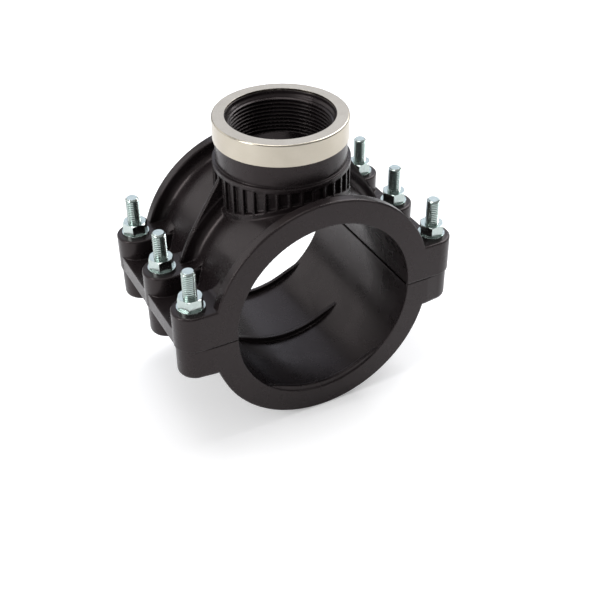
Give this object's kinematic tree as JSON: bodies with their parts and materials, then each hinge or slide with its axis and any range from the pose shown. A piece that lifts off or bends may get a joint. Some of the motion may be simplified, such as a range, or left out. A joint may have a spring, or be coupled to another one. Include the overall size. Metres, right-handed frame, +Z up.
{
  "type": "tapping saddle",
  "caption": "Two-part clamp saddle for a plastic pressure pipe, with a ribbed collar round a threaded branch outlet, a metal reinforcing ring and bolts along both sides.",
  "frame": {"origin": "on the pipe's axis, midway along the saddle", "axes": "+Y along the pipe, +Z up the threaded outlet, +X across the bolt rows"},
  "size_m": [0.177, 0.1074, 0.1727],
  "materials": {
    "black_plastic": "moulded polypropylene, satin",
    "ring_steel": "pressed stainless steel, satin",
    "zinc_steel": "bright zinc plated",
    "seal_rubber": "moulded rubber, matt"
  },
  "bodies": {
    "root": {"upper_saddle": "black_plastic", "lower_saddle": "black_plastic", "reinforcing_ring": "ring_steel", "outlet_seal": "seal_rubber", "bolt_1": "zinc_steel", "bolt_2": "zinc_steel", "bolt_3": "zinc_steel", "bolt_4": "zinc_steel", "bolt_5": "zinc_steel", "bolt_6": "zinc_steel", "washer_1": "zinc_steel", "washer_2": "zinc_steel", "washer_3": "zinc_steel", "washer_4": "zinc_steel", "washer_5": "zinc_steel", "washer_6": "zinc_steel", "nut_1": "zinc_steel", "nut_2": "zinc_steel", "nut_3": "zinc_steel", "nut_4": "zinc_steel", "nut_5": "zinc_steel", "nut_6": "zinc_steel"}
  },
  "joints": []
}
